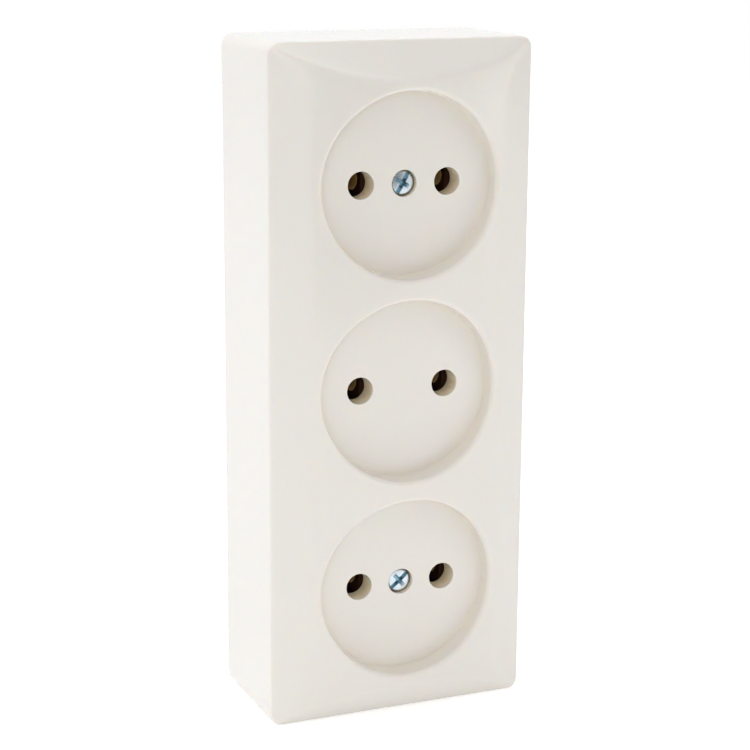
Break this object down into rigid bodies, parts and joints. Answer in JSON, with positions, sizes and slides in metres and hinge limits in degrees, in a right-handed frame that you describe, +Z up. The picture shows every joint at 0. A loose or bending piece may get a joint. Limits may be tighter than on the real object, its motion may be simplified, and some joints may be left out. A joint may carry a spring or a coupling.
{
  "type": "triple surface-mounted socket",
  "caption": "Upright surface-mounted socket outlet with an arched white cover, stacked round recesses and round pin holes, over a base with brass rails and spring contacts.",
  "frame": {"origin": "centre of the flat back that lies on the wall", "axes": "+Z up the wall along the row of sockets, +X to the right seen from the front, front faces -Y"},
  "size_m": [0.0578, 0.0338, 0.1424],
  "materials": {
    "cover_plastic": "glossy moulded urea plastic, warm white",
    "base_resin": "moulded phenolic resin, dark brown, half matte",
    "contact_brass": "rolled brass strip, bare",
    "zinc_steel": "zinc-plated steel, bluish, fine turned marks"
  },
  "bodies": {
    "root": {"cover": "cover_plastic", "base": "base_resin", "rail_left": "contact_brass", "rail_right": "contact_brass", "contact_top_left": "contact_brass", "contact_top_right": "contact_brass", "contact_middle_left": "contact_brass", "contact_middle_right": "contact_brass", "contact_bottom_left": "contact_brass", "contact_bottom_right": "contact_brass", "contact_rivets_left": "contact_brass", "contact_rivets_right": "contact_brass", "rail_screws_left": "zinc_steel", "rail_screws_right": "zinc_steel", "terminal_screw_left": "zinc_steel", "terminal_screw_right": "zinc_steel", "clamp_plate_left": "zinc_steel", "clamp_plate_right": "zinc_steel", "terminal_nut_left": "zinc_steel", "terminal_nut_right": "zinc_steel", "cover_screw_top": "zinc_steel", "cover_screw_bottom": "zinc_steel", "cover_nut_top": "zinc_steel", "cover_nut_bottom": "zinc_steel"}
  },
  "joints": []
}
